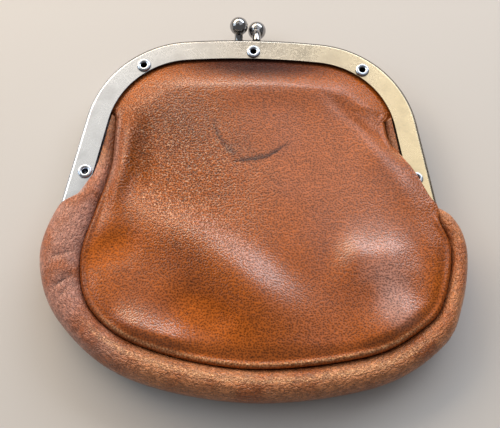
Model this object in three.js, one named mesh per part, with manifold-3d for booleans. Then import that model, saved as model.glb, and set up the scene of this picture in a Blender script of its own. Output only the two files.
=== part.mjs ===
// Leather coin purse with a metal clasp frame, lying closed on its back.
// X runs across the frame, Y from the bottom of the pouch to the clasp, Z up from the table.

import * as THREE from "three";
import { mergeVertices } from "three/addons/utils/BufferGeometryUtils.js";
import Module from "manifold-3d";

const wasm = await Module();
wasm.setup();

// Sizes are in millimetres and angles in degrees.
// Clearance left wherever two pieces meet, and along a seam and an arm of the frame
const GAP = 0.3;
const SEAM_GAP = 0.27;
const ARM_GAP = 0.4;

// How far a cut reaches past the surface that it opens
const OVERCUT = 1;

// Clasp frame: each bow is a bent channel, open towards the leather
const FRAME_X = -1.6;
const MIDDLE_Z = 6.6;
const CROWN_TOP = 50;
const CROWN_RADIUS = 230;
const CROWN_HALF = 20.9;
const SHOULDER_RADIUS = 32;
const ARM_LEAN = 10.5;
const ARM_LENGTH = 35;
const FACE_WIDTH = 6.8;
const LINER_WIDTH = 6;
const BOW_DEPTH = 3.6;
const BOW_SHEET = 0.8;
const BEND_RADIUS = 1.2;
const BOW_SPLIT = 0.4;

// Hinge at each foot: an ear on either bow and a rivet through both
const EAR_LENGTH = 7;
const EAR_REACH = 2.2;
const EAR_ROOT = 1;
const TUCK = 0.1;
const FRONT_EAR_INSET = 2;
const BACK_EAR_INSET = FRONT_EAR_INSET + BOW_SHEET + GAP;
const PIN_RADIUS = 1;
const PIN_HEAD_RADIUS = 1.7;
const PIN_HEAD = 0.7;

// Eyelets that hold the leather in a bow
const EYELET_INSET = 4.5;
const EYELET_RIM = 2.1;
const EYELET_BARREL = 1.2;
const EYELET_HOLE = 0.75;
const EYELET_DOME = 0.75;
const EYELET_SEAT = 0.1;
// Rolled rim, from outside: shares of the rim's radius and of the dome's height
const EYELET_ROLL = [
  [1, 0.13],
  [0.95, 0.6],
  [0.7, 1],
  [0.36, 0.5],
];
const EYELETS = [
  { turn: -(90 - ARM_LEAN), drop: 17.4 },
  { turn: -34, drop: 0 },
  { turn: 0, drop: 0 },
  { turn: 34, drop: 0 },
  { turn: 90 - ARM_LEAN, drop: 17.4 },
];

// Clasp balls: each leans over the middle plane and catches behind the other
const BALL_RADIUS = 2.85;
const BALL_Y = 56;
const BALL_LEAN = 1.2;
const FRONT_BALL_X = -0.7;
const BACK_BALL_X = -6.4;
const POST_RADIUS = 1.3;
const PEG_RADIUS = 0.7;
const PEG_LENGTH = 2;

// Leather
const LEATHER = 1.2;
const SEAM_ANGLE = 145;
const FULLNESS = 0.8;
const HEM = 2.4;
const LEAST_HEM = 0.4;
const FULL_HEIGHT = 15;
const SLOT_HEM = 4.6;
const SLOT_TURN = 70;
const SLOT_RUN = 10;
const EDGE_ROUNDING = 2.2;
const RIM_BLUR = 0.01;
const PANEL_MIDDLE = { x: -1, y: -8 };
const BELLY_HEIGHT = 14.2;
const BELLY_SLOPE = -0.03;

// Sections of the gusset, from the left arm of the frame round the bottom to the right arm.
// Out and seam are the ends of a section seen from above, crest and floor its highest and lowest points.
// A panel's edge laps over the seam by lap, stands off it by lift and is rounded over run.
const GUSSET_COLUMNS = ["outX", "outY", "seamX", "seamY", "crest", "floor", "lap", "lift", "run"];
const GUSSET_ROWS = {
  "left tip": [-44.2, 21, -41.3, 21.3, 9.8, 3.4, 0, 0.5, 9],
  "left arm": [-46.4, 8.5, -42.4, 9.5, 10, 3.2, 0, 0, 7],
  "left hinge": [-51.5, -1.5, -43.4, 1, 12.8, 1, 0, 0, 7],
  "left foot": [-57.2, -6, -45.3, -7, 14, 0, 0, 0, 7],
  "left side": [-60.5, -21, -48.1, -21.5, 15, 0, 0, 0, 7],
  "left corner": [-53.7, -38.1, -44.2, -35.5, 15, 0, 0, 0, 7],
  "bottom left": [-34.1, -53.1, -29.6, -45.3, 14.5, 0, 0, 0, 7],
  "bottom": [-0.5, -59, -0.5, -50.4, 14, 0, 0, 0, 7],
  "bottom right": [33.6, -54.2, 31.2, -46.4, 13.5, 0, 0, 0, 7],
  "right corner": [56.6, -38, 51.2, -33.8, 13.5, 0, 0, 0, 7],
  "right side": [60.5, -17, 55.5, -17.5, 13, 0, 0, 0, 7],
  "right foot": [57, -6, 51.8, -8, 12.6, 0, 0.8, 1.5, 7],
  "right hinge": [49, -1, 43.5, 0.5, 11, 1.5, 6.4, 3.4, 7],
  "right arm": [43.3, 8, 39.8, 8.2, 9.8, 3.4, 5.6, 4.2, 7],
  "right tip": [41, 21, 38.2, 21.3, 9.8, 3.4, 0, 0.5, 9],
};

// Ridges and dents of the front panel: a fold lies at x and y, turned from the X axis
const FRONT_FOLDS = [
  { at: "ridge under the crown", x: 6, y: 33.5, turn: 0, long: 26, wide: 4.5, height: 0.8 },
  { at: "upper right valley", x: 31, y: 22, turn: -40, long: 12, wide: 4, height: -1.6 },
  { at: "bulge over the right arm", x: 43, y: 5, turn: -55, long: 15, wide: 6, height: 1.2 },
  { at: "left fold", x: -39, y: 11, turn: 94, long: 16, wide: 3, height: 1.6 },
  { at: "valley beside the left fold", x: -31, y: 8, turn: 92, long: 14, wide: 5, height: -1.2 },
  { at: "slanting ridge", x: -3, y: -22, turn: -38, long: 34, wide: 8, height: 1.6 },
  { at: "hollow by the left seam", x: -40, y: -16, turn: 30, long: 10, wide: 5, height: -2 },
  { at: "lower left bump", x: -27, y: -38, turn: -30, long: 10, wide: 6, height: 0.8 },
  { at: "lower hollow", x: -13, y: -36, turn: -40, long: 10, wide: 6, height: -1 },
  { at: "dent by the right seam", x: 41, y: -23, turn: 10, long: 10, wide: 5, height: -1.3 },
];

// How finely the curved pieces are divided
const SEAM_STEPS = 42;
const SLOT_STEPS = 16;
const SECTION_STEPS = 10;
const FRONT_RINGS = [0.25, 0.46, 0.64, 0.78, 0.88, 0.95, 1];
const BACK_RINGS = [0.5, 0.8, 0.92, 1];
const ARM_STEPS = 2;
const SHOULDER_STEPS = 8;
const CROWN_STEPS = 4;
const ROUND_STEPS = 10;
const BALL_STEPS = 12;
const BALL_RINGS = 9;
const POST_STEPS = 5;
const FINE_ROWS = 420;
const WELD = 1e-4;

const radians = THREE.MathUtils.degToRad;
const frontFace = MIDDLE_Z + BOW_SPLIT / 2 + BOW_DEPTH;
const frontSlot = frontFace - BOW_SHEET - (BOW_DEPTH - 2 * BOW_SHEET - LEATHER) / 2;

// Colours and finishes
const panelLeather = new THREE.MeshStandardMaterial({ color: 0x9a5427, roughness: 0.5, metalness: 0 });
const gussetLeather = new THREE.MeshStandardMaterial({ color: 0x98603a, roughness: 0.6, metalness: 0 });
const nickel = new THREE.MeshStandardMaterial({ color: 0xb9b5aa, roughness: 0.4, metalness: 1 });
const polish = new THREE.MeshStandardMaterial({ color: 0x8d8f92, roughness: 0.15, metalness: 1 });

const purse = new THREE.Group();

function place(name, geometry, material) {
  const mesh = new THREE.Mesh(geometry, material);
  mesh.name = name;
  purse.add(mesh);
}

// Joining and cutting of closed shapes
function solid(geometry) {
  const bare = new THREE.BufferGeometry();
  bare.setAttribute("position", geometry.getAttribute("position"));
  bare.setIndex(geometry.index);
  const merged = mergeVertices(bare, WELD);
  return new wasm.Manifold(
    new wasm.Mesh({
      numProp: 3,
      vertProperties: merged.getAttribute("position").array,
      triVerts: new Uint32Array(merged.index.array),
    }),
  );
}

function surface(body) {
  const mesh = body.getMesh();
  const geometry = new THREE.BufferGeometry();
  geometry.setAttribute("position", new THREE.BufferAttribute(mesh.vertProperties, 3));
  geometry.setIndex(new THREE.BufferAttribute(mesh.triVerts, 1));
  geometry.computeVertexNormals();
  return geometry;
}

// Cuts a body and drops any crumb that comes loose
function cut(body, tools) {
  const pieces = tools.reduce((left, tool) => left.subtract(tool), body).decompose();
  return pieces.reduce((most, piece) => (piece.volume() > most.volume() ? piece : most));
}

function join(bodies) {
  return bodies.reduce((all, body) => all.add(body));
}

function closedGeometry(points, triangles) {
  const geometry = new THREE.BufferGeometry().setFromPoints(points);
  geometry.setIndex(triangles.flat());
  return geometry;
}

// Gives a sheet of points its thickness, measured inwards from the sheet, and grown both ways
function thicken(points, triangles, thickness, grown = 0) {
  const sheet = closedGeometry(points, triangles);
  sheet.computeVertexNormals();
  const normals = sheet.getAttribute("normal");
  const count = points.length;
  const shifted = (distance) =>
    points.map((point, i) => {
      return new THREE.Vector3().fromBufferAttribute(normals, i).multiplyScalar(distance).add(point);
    });
  const outer = shifted(grown);
  const inner = shifted(-thickness - grown);
  const sides = triangles.flatMap(([a, b, c]) => [[a, b], [b, c], [c, a]]);
  const known = new Set(sides.map(([a, b]) => `${a},${b}`));
  const rim = sides.filter(([a, b]) => !known.has(`${b},${a}`));
  const walls = rim.flatMap(([a, b]) => [
    [b, a, a + count],
    [b, a + count, b + count],
  ]);
  const lining = triangles.map(([a, b, c]) => [c + count, b + count, a + count]);
  return closedGeometry([...outer, ...inner], [...triangles, ...lining, ...walls]);
}

// A place on the outer edge of the bows: turn is the edge's outward direction, from straight up,
// and drop the way down an arm
const crownTurn = Math.asin(CROWN_HALF / CROWN_RADIUS);
const armTurn = radians(90 - ARM_LEAN);

function bowPlace(turn, drop = 0) {
  const side = turn < 0 ? -1 : 1;
  const crown = new THREE.Vector2(FRAME_X, CROWN_TOP - CROWN_RADIUS);
  const out = new THREE.Vector2(Math.sin(turn), Math.cos(turn));
  if (Math.abs(turn) <= crownTurn) {
    return { edge: crown.addScaledVector(out, CROWN_RADIUS), out };
  }
  const joint = new THREE.Vector2(side * Math.sin(crownTurn), Math.cos(crownTurn));
  const down = new THREE.Vector2(side * Math.sin(radians(ARM_LEAN)), -Math.cos(radians(ARM_LEAN)));
  const edge = crown
    .addScaledVector(joint, CROWN_RADIUS - SHOULDER_RADIUS)
    .addScaledVector(out, SHOULDER_RADIUS)
    .addScaledVector(down, drop);
  return { edge, out };
}

function bowPoint(turn, drop, inset, z) {
  const { edge, out } = bowPlace(turn, drop);
  return new THREE.Vector3(edge.x - out.x * inset, edge.y - out.y * inset, z);
}

// Places along a bow from the left foot over the crown to the right foot
function bowRun() {
  const half = [];
  for (let i = 0; i < ARM_STEPS; i++) {
    half.push({ turn: armTurn, drop: ARM_LENGTH * (1 - i / ARM_STEPS) });
  }
  for (let i = 0; i < SHOULDER_STEPS; i++) {
    half.push({ turn: THREE.MathUtils.lerp(armTurn, crownTurn, i / SHOULDER_STEPS), drop: 0 });
  }
  for (let i = 0; i < CROWN_STEPS / 2; i++) {
    half.push({ turn: crownTurn * (1 - (2 * i) / CROWN_STEPS), drop: 0 });
  }
  const left = half.map(({ turn, drop }) => ({ turn: -turn, drop }));
  return [...left, { turn: 0, drop: 0 }, ...half.reverse()];
}

// Sweeps a closed section of inset and height along the bows
function sweepBow(section, run) {
  const size = section.length;
  const points = run.flatMap(({ turn, drop }) => section.map(({ x, y }) => bowPoint(turn, drop, x, y)));
  const triangles = [];
  for (let i = 0; i + 1 < run.length; i++) {
    for (let j = 0; j < size; j++) {
      const a = i * size + j;
      const b = i * size + ((j + 1) % size);
      triangles.push([a, a + size, b], [b, a + size, b + size]);
    }
  }
  const last = (run.length - 1) * size;
  for (const [a, b, c] of THREE.ShapeUtils.triangulateShape(section, [])) {
    triangles.push([a, b, c], [last + c, last + b, last + a]);
  }
  return closedGeometry(points, triangles);
}

// The bent channel of the front bow, anticlockwise: face, outer bend, web, inner bend, liner
function channelSection() {
  const top = frontFace;
  const low = top - BOW_DEPTH;
  const inside = BEND_RADIUS - BOW_SHEET;
  const bend = (shares, radius, z, from, to) =>
    shares.map((share) => {
      const angle = radians(THREE.MathUtils.lerp(from, to, share));
      return new THREE.Vector2(BEND_RADIUS + radius * Math.cos(angle), z + radius * Math.sin(angle));
    });
  return [
    new THREE.Vector2(FACE_WIDTH, top),
    ...bend([0, 0.5, 1], BEND_RADIUS, top - BEND_RADIUS, 90, 180),
    ...bend([0, 0.5, 1], BEND_RADIUS, low + BEND_RADIUS, 180, 270),
    new THREE.Vector2(LINER_WIDTH, low),
    new THREE.Vector2(LINER_WIDTH, low + BOW_SHEET),
    ...bend([0, 1], inside, low + BEND_RADIUS, 270, 180),
    ...bend([0, 1], inside, top - BEND_RADIUS, 180, 90),
    new THREE.Vector2(FACE_WIDTH, top - BOW_SHEET),
  ];
}

// A block on an arm, given by its drop, inset and height ranges
function armBlock(side, drops, insets, heights) {
  const section = [
    new THREE.Vector2(insets[1], heights[0]),
    new THREE.Vector2(insets[1], heights[1]),
    new THREE.Vector2(insets[0], heights[1]),
    new THREE.Vector2(insets[0], heights[0]),
  ];
  const run = drops.map((drop) => ({ turn: side * armTurn, drop }));
  return solid(sweepBow(section, side < 0 ? run.reverse() : run));
}

// Turns a lathed shape from its own Y axis to a direction, with its start at a point
function aim(geometry, start, direction) {
  const up = new THREE.Vector3(0, 1, 0);
  geometry.applyQuaternion(new THREE.Quaternion().setFromUnitVectors(up, direction));
  return geometry.translate(start.x, start.y, start.z);
}

function rod(radius, start, end) {
  const way = end.clone().sub(start);
  const profile = [
    new THREE.Vector2(0, 0),
    new THREE.Vector2(radius, 0),
    new THREE.Vector2(radius, way.length()),
    new THREE.Vector2(0, way.length()),
  ];
  const lathe = new THREE.LatheGeometry(profile, ROUND_STEPS);
  return solid(aim(lathe, start, way.normalize()));
}

// The back of the purse mirrors the front about the middle plane
function mirrored(z, front) {
  return front ? z : 2 * MIDDLE_Z - z;
}

function span(low, high, front) {
  return front ? [low, high] : [mirrored(high), mirrored(low)];
}

const armSides = [
  { name: "left", side: -1 },
  { name: "right", side: 1 },
];

function bow(front) {
  const section = channelSection().map(({ x, y }) => new THREE.Vector2(x, mirrored(y, front)));
  const channel = solid(sweepBow(front ? section : section.reverse(), bowRun()));
  const linerLow = frontFace - BOW_DEPTH;
  const linerTop = linerLow + BOW_SHEET;
  const earInset = front ? FRONT_EAR_INSET : BACK_EAR_INSET;
  const ear = [earInset, earInset + BOW_SHEET];
  const footStart = ARM_LENGTH - EAR_LENGTH - OVERCUT;
  const clear = [];
  const added = [];
  for (const { side } of armSides) {
    const foot = [footStart, ARM_LENGTH + OVERCUT];
    const linerRoom = span(linerLow - OVERCUT, linerTop + BOW_SHEET, front);
    clear.push(armBlock(side, foot, [BOW_SHEET, FACE_WIDTH + OVERCUT], linerRoom));
    const root = [footStart - EAR_ROOT, ARM_LENGTH - 2 * TUCK];
    const plate = [ARM_LENGTH - EAR_LENGTH, ARM_LENGTH - TUCK];
    added.push(armBlock(side, root, ear, span(linerLow + TUCK, linerTop - TUCK, front)));
    added.push(armBlock(side, plate, ear, span(MIDDLE_Z - EAR_REACH, linerTop - 2 * TUCK, front)));
  }
  const holes = armSides.map(({ side }) => {
    const hole = (inset) => bowPoint(side * armTurn, ARM_LENGTH - EAR_LENGTH / 2, inset, MIDDLE_Z);
    return rod(PIN_RADIUS + GAP, hole(FACE_WIDTH), hole(BEND_RADIUS));
  });
  const rivetHoles = eyeletAxes(front).map(({ low, high }) => rod(EYELET_BARREL + GAP, low, high));
  const ballX = front ? FRONT_BALL_X : BACK_BALL_X;
  const pegZ = mirrored(frontFace - BOW_DEPTH / 2, front);
  const pegHole = rod(
    PEG_RADIUS + GAP,
    new THREE.Vector3(ballX, CROWN_TOP - PEG_LENGTH, pegZ),
    new THREE.Vector3(ballX, CROWN_TOP + OVERCUT, pegZ),
  );
  return cut(join([cut(channel, clear), ...added]), [...holes, ...rivetHoles, pegHole]);
}

// Axes of the eyelets, from below a bow's liner to above its face
function eyeletAxes(front) {
  return EYELETS.map(({ turn, drop }) => {
    const end = (z) => bowPoint(radians(turn), drop, EYELET_INSET, mirrored(z, front));
    const low = end(frontFace - BOW_DEPTH - OVERCUT);
    const high = end(frontFace + OVERCUT);
    return { low, high, seat: end(frontFace) };
  });
}

// A hollow rivet with a rolled rim
function eyelet(front, seat) {
  const depth = BOW_DEPTH - EYELET_SEAT;
  const rim = [
    [EYELET_HOLE, -depth],
    [EYELET_BARREL, -depth],
    [EYELET_BARREL, EYELET_SEAT],
    ...EYELET_ROLL.map(([radius, height]) => [EYELET_RIM * radius, EYELET_DOME * height]),
    [EYELET_HOLE, -depth],
  ];
  const profile = rim.map(([radius, height]) => new THREE.Vector2(radius, height));
  const lathe = new THREE.LatheGeometry(profile, ROUND_STEPS);
  return surface(solid(aim(lathe, seat, new THREE.Vector3(0, 0, front ? 1 : -1))));
}

// A plain rivet through the two ears of a foot
function hingePin(side) {
  const start = FRONT_EAR_INSET - GAP - PIN_HEAD;
  const end = BACK_EAR_INSET + BOW_SHEET + GAP + PIN_HEAD;
  const at = (inset) => bowPoint(side * armTurn, ARM_LENGTH - EAR_LENGTH / 2, inset, MIDDLE_Z);
  return join([
    rod(PIN_RADIUS, at(end), at(start)),
    rod(PIN_HEAD_RADIUS, at(end), at(end - PIN_HEAD)),
    rod(PIN_HEAD_RADIUS, at(start + PIN_HEAD), at(start)),
  ]);
}

// A ball on a bent post, with a peg through the web of its bow
function claspBall(front) {
  const x = front ? FRONT_BALL_X : BACK_BALL_X;
  const rootZ = mirrored(frontFace - BOW_DEPTH / 2, front);
  const ballZ = MIDDLE_Z + (front ? -BALL_LEAN : BALL_LEAN);
  const foot = CROWN_TOP + GAP;
  const path = new THREE.QuadraticBezierCurve3(
    new THREE.Vector3(x, foot, rootZ),
    new THREE.Vector3(x, (foot + BALL_Y) / 2, rootZ),
    new THREE.Vector3(x, BALL_Y, ballZ),
  );
  const round = new THREE.Shape().absarc(0, 0, POST_RADIUS, 0, 2 * Math.PI);
  const post = new THREE.ExtrudeGeometry(round, {
    steps: POST_STEPS,
    curveSegments: ROUND_STEPS / 2,
    bevelEnabled: false,
    extrudePath: path,
  });
  const ball = new THREE.SphereGeometry(BALL_RADIUS, BALL_STEPS, BALL_RINGS).translate(x, BALL_Y, ballZ);
  const at = (y) => new THREE.Vector3(x, y, rootZ);
  return join([
    solid(post),
    solid(ball),
    rod(PEG_RADIUS, at(foot - PEG_LENGTH), at(foot + POST_RADIUS)),
  ]);
}

// A row of the gusset's table at any place between its rows, on a smooth curve
function gussetRow(share) {
  const table = Object.values(GUSSET_ROWS);
  const last = table.length - 1;
  const place = share * last;
  const start = Math.min(Math.floor(place), last - 1);
  const rows = [-1, 0, 1, 2].map((step) => table[THREE.MathUtils.clamp(start + step, 0, last)]);
  const u = place - start;
  const smooth = (a, b, c, d) => {
    const bend = 2 * a - 5 * b + 4 * c - d + (3 * b - a - 3 * c + d) * u;
    return b + 0.5 * u * (c - a + u * bend);
  };
  const mixed = {};
  GUSSET_COLUMNS.forEach((column, i) => {
    mixed[column] = smooth(...rows.map((row) => row[i]));
  });
  mixed.floor = Math.max(mixed.floor, 0);
  return mixed;
}

// Rows at even steps along the gusset's outer wall
function evenRows() {
  const fine = Array.from({ length: FINE_ROWS + 1 }, (_, i) => gussetRow(i / FINE_ROWS));
  const ways = [0];
  for (let i = 1; i < fine.length; i++) {
    ways.push(ways[i - 1] + Math.hypot(fine[i].outX - fine[i - 1].outX, fine[i].outY - fine[i - 1].outY));
  }
  const length = ways[ways.length - 1];
  return Array.from({ length: SEAM_STEPS + 1 }, (_, i) => {
    return fine[ways.findIndex((way) => way >= (length * i) / SEAM_STEPS - WELD)];
  });
}

// Height of the gusset's section at an angle round it, 0 at the outer wall
function gussetHeight(row, angle) {
  const wave = Math.sin(angle);
  const share = Math.sign(wave) * Math.pow(Math.abs(wave), FULLNESS);
  return (row.crest + row.floor) / 2 + ((row.crest - row.floor) / 2) * share;
}

// The seam allowance, which a lapped edge hardly has
function hemAt(row) {
  return Math.max((HEM * (row.crest - row.floor)) / FULL_HEIGHT - Math.max(row.lap, 0), LEAST_HEM);
}

function seamPlace(row, outwards) {
  const seam = new THREE.Vector2(row.seamX, row.seamY);
  const way = new THREE.Vector2(row.outX, row.outY).sub(seam).normalize();
  return seam.addScaledVector(way, outwards);
}

// One section of the gusset: hem, arc over the crest and under the floor, hem
function gussetSection(row) {
  const seam = seamPlace(row, GAP / 2);
  const outer = new THREE.Vector2(row.outX, row.outY);
  const limit = radians(SEAM_ANGLE);
  const point = (share, z) => {
    const flat = seam.clone().lerp(outer, share);
    return new THREE.Vector3(flat.x, flat.y, z);
  };
  const hem = hemAt(row);
  const arc = [];
  for (let i = 0; i <= SECTION_STEPS; i++) {
    const angle = limit * (1 - (2 * i) / SECTION_STEPS);
    const share = (Math.cos(angle) - Math.cos(limit)) / (1 - Math.cos(limit));
    arc.push(point(share, gussetHeight(row, angle)));
  }
  return [
    point(0, gussetHeight(row, limit) - hem),
    ...arc,
    point(0, gussetHeight(row, -limit) + hem),
  ];
}

function gusset(grown = 0) {
  const sections = gussetRows.map(gussetSection);
  const size = sections[0].length;
  const triangles = [];
  for (let i = 0; i < SEAM_STEPS; i++) {
    for (let j = 0; j + 1 < size; j++) {
      const a = i * size + j;
      triangles.push([a, a + 1, a + size], [a + 1, a + size + 1, a + size]);
    }
  }
  return solid(thicken(sections.flat(), triangles, LEATHER, grown));
}

// Height that the folds of a panel add at a place
function foldHeight(folds, x, y) {
  return folds.reduce((sum, fold) => {
    const turn = radians(fold.turn);
    const along = (x - fold.x) * Math.cos(turn) + (y - fold.y) * Math.sin(turn);
    const across = (y - fold.y) * Math.cos(turn) - (x - fold.x) * Math.sin(turn);
    return sum + fold.height * Math.exp(-((along / fold.long) ** 2) - (across / fold.wide) ** 2);
  }, 0);
}

// The rim of a panel: down one side of the gusset, along the bottom, up and through the bow's slot
function panelRim(front) {
  const rim = [];
  for (const row of gussetRows) {
    const seam = seamPlace(row, row.lap - GAP / 2);
    const angle = radians(SEAM_ANGLE);
    const z = front ? gussetHeight(row, angle) + row.lift : Math.max(gussetHeight(row, -angle) - row.lift, 0);
    const hem = new THREE.Vector3(0, 0, front ? -hemAt(row) : hemAt(row));
    rim.push({ x: seam.x, y: seam.y, z, run: row.run, hem });
  }
  for (let i = 0; i <= SLOT_STEPS; i++) {
    const turn = radians(SLOT_TURN) * (1 - (2 * i) / SLOT_STEPS);
    const { x, y } = bowPoint(turn, 0, FACE_WIDTH, 0);
    const { out } = bowPlace(turn);
    const hem = new THREE.Vector3(out.x, out.y, 0).multiplyScalar(SLOT_HEM);
    rim.push({ x, y, z: mirrored(frontSlot, front), run: SLOT_RUN, hem });
  }
  return rim;
}

// The distance of a place from a panel's rim, with the rim's height and rounding blended by nearness
function nearRim(rim, x, y) {
  const place = new THREE.Vector3(x, y, 0);
  const nearest = new THREE.Vector3();
  const blend = { weight: 0, z: 0, run: 0, inside: Infinity };
  rim.forEach((edge, i) => {
    const next = rim[(i + 1) % rim.length];
    const side = new THREE.Line3(new THREE.Vector3(edge.x, edge.y, 0), new THREE.Vector3(next.x, next.y, 0));
    side.closestPointToPoint(place, true, nearest);
    blend.inside = Math.min(blend.inside, nearest.distanceTo(place));
    const weight = 1 / (side.start.distanceToSquared(place) + RIM_BLUR) ** 2;
    blend.weight += weight;
    blend.z += edge.z * weight;
    blend.run += edge.run * weight;
  });
  return { z: blend.z / blend.weight, run: blend.run / blend.weight, inside: blend.inside };
}

// A panel rises from its rim on a rounded edge to its belly
function panel(front, rings) {
  const rim = panelRim(front);
  const count = rim.length;
  const belly = (x, y) => (front ? BELLY_HEIGHT + BELLY_SLOPE * y + foldHeight(FRONT_FOLDS, x, y) : 0);
  const points = [new THREE.Vector3(PANEL_MIDDLE.x, PANEL_MIDDLE.y, belly(PANEL_MIDDLE.x, PANEL_MIDDLE.y))];
  for (const share of rings) {
    for (const edge of rim) {
      const x = THREE.MathUtils.lerp(PANEL_MIDDLE.x, edge.x, share);
      const y = THREE.MathUtils.lerp(PANEL_MIDDLE.y, edge.y, share);
      const near = nearRim(rim, x, y);
      const rise = 1 - Math.pow(1 - Math.min(near.inside / near.run, 1), EDGE_ROUNDING);
      points.push(new THREE.Vector3(x, y, THREE.MathUtils.lerp(near.z, belly(x, y), rise)));
    }
  }
  for (const edge of rim) {
    points.push(new THREE.Vector3(edge.x, edge.y, edge.z).add(edge.hem));
  }
  const triangles = [];
  for (let j = 0; j < count; j++) {
    const next = (j + 1) % count;
    triangles.push([0, 1 + j, 1 + next]);
    for (let i = 0; i < rings.length; i++) {
      const inner = 1 + i * count;
      const outer = inner + count;
      triangles.push([inner + j, outer + j, outer + next], [inner + j, outer + next, inner + next]);
    }
  }
  const facing = front ? triangles : triangles.map(([a, b, c]) => [a, c, b]);
  return solid(thicken(points, facing, LEATHER));
}

function slotHoles(front) {
  const inSlot = eyeletAxes(front).filter((axis, i) => EYELETS[i].drop === 0);
  return inSlot.map(({ low, high }) => rod(EYELET_BARREL + GAP, low, high));
}

// Room that the leather leaves for the arms of the frame
function armRoom() {
  const low = mirrored(frontFace) - ARM_GAP;
  const high = frontFace + ARM_GAP;
  const drops = [ARM_GAP, ARM_LENGTH + ARM_GAP];
  const insets = [-ARM_GAP, FACE_WIDTH + ARM_GAP];
  return armSides.map(({ side }) => armBlock(side, drops, insets, [low, high]));
}

// Leather
const gussetRows = evenRows();
const arms = armRoom();
const gussetRoom = gusset(SEAM_GAP);
const frontLeather = cut(panel(true, FRONT_RINGS), [...slotHoles(true), ...arms, gussetRoom]);
const backLeather = cut(panel(false, BACK_RINGS), [...slotHoles(false), ...arms, gussetRoom]);
place("front_panel", surface(frontLeather), panelLeather);
place("back_panel", surface(backLeather), panelLeather);
place("gusset", surface(cut(gusset(), arms)), gussetLeather);

// Metal
for (const [name, front] of [["front", true], ["back", false]]) {
  place(`${name}_bow`, surface(bow(front)), nickel);
  place(`${name}_ball`, surface(claspBall(front)), polish);
  eyeletAxes(front).forEach(({ seat }, i) => {
    place(`${name}_eyelet_${i + 1}`, eyelet(front, seat), polish);
  });
}
for (const { name, side } of armSides) {
  place(`hinge_pin_${name}`, surface(hingePin(side)), nickel);
}

export default purse;
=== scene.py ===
import math

import bpy
import numpy as np
from bpy.props import FloatProperty, FloatVectorProperty, PointerProperty
from mathutils import Matrix, Vector, noise


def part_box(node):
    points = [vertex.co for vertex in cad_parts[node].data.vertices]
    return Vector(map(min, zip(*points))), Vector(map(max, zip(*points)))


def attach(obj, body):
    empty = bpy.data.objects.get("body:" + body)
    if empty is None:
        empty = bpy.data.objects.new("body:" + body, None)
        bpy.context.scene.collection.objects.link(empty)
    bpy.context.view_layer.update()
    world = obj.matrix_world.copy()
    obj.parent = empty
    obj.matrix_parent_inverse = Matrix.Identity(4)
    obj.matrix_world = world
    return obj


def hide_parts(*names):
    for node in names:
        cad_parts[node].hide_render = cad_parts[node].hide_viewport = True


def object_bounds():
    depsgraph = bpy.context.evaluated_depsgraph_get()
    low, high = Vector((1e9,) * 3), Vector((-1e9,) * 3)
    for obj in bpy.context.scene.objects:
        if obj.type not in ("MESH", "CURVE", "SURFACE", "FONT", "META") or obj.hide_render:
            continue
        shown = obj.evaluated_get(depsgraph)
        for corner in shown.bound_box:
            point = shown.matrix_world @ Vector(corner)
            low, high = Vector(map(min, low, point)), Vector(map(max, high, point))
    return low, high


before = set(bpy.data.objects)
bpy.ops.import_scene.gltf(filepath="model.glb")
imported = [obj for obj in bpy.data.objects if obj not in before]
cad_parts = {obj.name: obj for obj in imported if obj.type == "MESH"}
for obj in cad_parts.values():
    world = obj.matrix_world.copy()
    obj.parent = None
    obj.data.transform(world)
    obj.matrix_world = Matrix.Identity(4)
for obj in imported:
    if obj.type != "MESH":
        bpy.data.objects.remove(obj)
cad_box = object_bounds()

bl_info = {
    "name": "Leather Coin Purse",
    "version": (1, 0, 0),
    "blender": (4, 5, 0),
    "location": "3D View > Sidebar > Purse",
    "description": "Makes a leather coin purse with a metal clasp frame, piece by piece",
    "category": "Object",
}

MM = 0.001
BODY = "root"

# Clearances in metres: round a barrel, along a seam, between the leather and an arm of the frame, and above an
# arm, where the gusset is open
GAP = 0.3 * MM
SEAM_GAP = 0.14 * MM
ARM_GAP = 0.4 * MM
TIP_ROOM = 4.5 * MM

# Sections of the gusset in millimetres, from the left arm of the frame round the bottom to the right arm.
# Out and seam are the ends of a section seen from above, crest and floor its highest and lowest points.
# A panel's edge laps over the seam by lap, stands off it by lift and is rounded over run.
GUSSET_COLUMNS = ("out_x", "out_y", "seam_x", "seam_y", "crest", "floor", "lap", "lift", "run")
GUSSET_ROWS = {
    "left tip": (-46, 25.4, -42.3, 22.9, 9.8, 3.4, 0, 0.5, 9),
    "left arm": (-48.4, 8.5, -42.4, 9.5, 10, 3.2, 0, 0.4, 7),
    "left hinge": (-51.5, -1.5, -43.4, 1, 12.8, 1, 0, 0.4, 7),
    "left foot": (-57.2, -6, -45.3, -7, 14, 0, 0, 0.5, 7),
    "left side": (-60.5, -21, -48.1, -21.5, 15, 0, 0, 0.5, 7),
    "left corner": (-53.7, -38.1, -44.2, -35.5, 15, 0, 0, 0.5, 5),
    "bottom left": (-34.1, -53.1, -29.6, -45.3, 14.5, 0, 0, 0.2, 4.5),
    "bottom": (-0.5, -59, -0.5, -50.4, 13.8, 0, 0, 0.9, 7),
    "bottom right": (33.6, -54.2, 31.2, -46.4, 13.4, 0, 0, 1.5, 4.5),
    "right corner": (52, -43.3, 46.6, -38.3, 13.3, 0, 0, 1.3, 4.5),
    "right lower side": (58.2, -31.5, 52.5, -30.8, 13.2, 0, 0, 0.9, 5),
    "right side": (60.5, -16, 55.4, -16.7, 13, 0, 0, 0.6, 7),
    "right foot": (57, -6, 51.8, -8, 12.6, 0, 0.2, 2.5, 7),
    "right hinge": (49, -1, 43.5, 0.5, 11, 1.5, 5.8, 4, 7),
    "right arm": (46, 8, 39.8, 8.2, 9.8, 3.4, 4.3, 4.2, 7),
    "right upper arm": (44.6, 16, 39.4, 16.2, 9.8, 3.4, 0, 1.7, 8),
    "right tip": (42.5, 26.4, 38.2, 23.4, 9.8, 3.4, 0, 0.5, 9),
}

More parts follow.
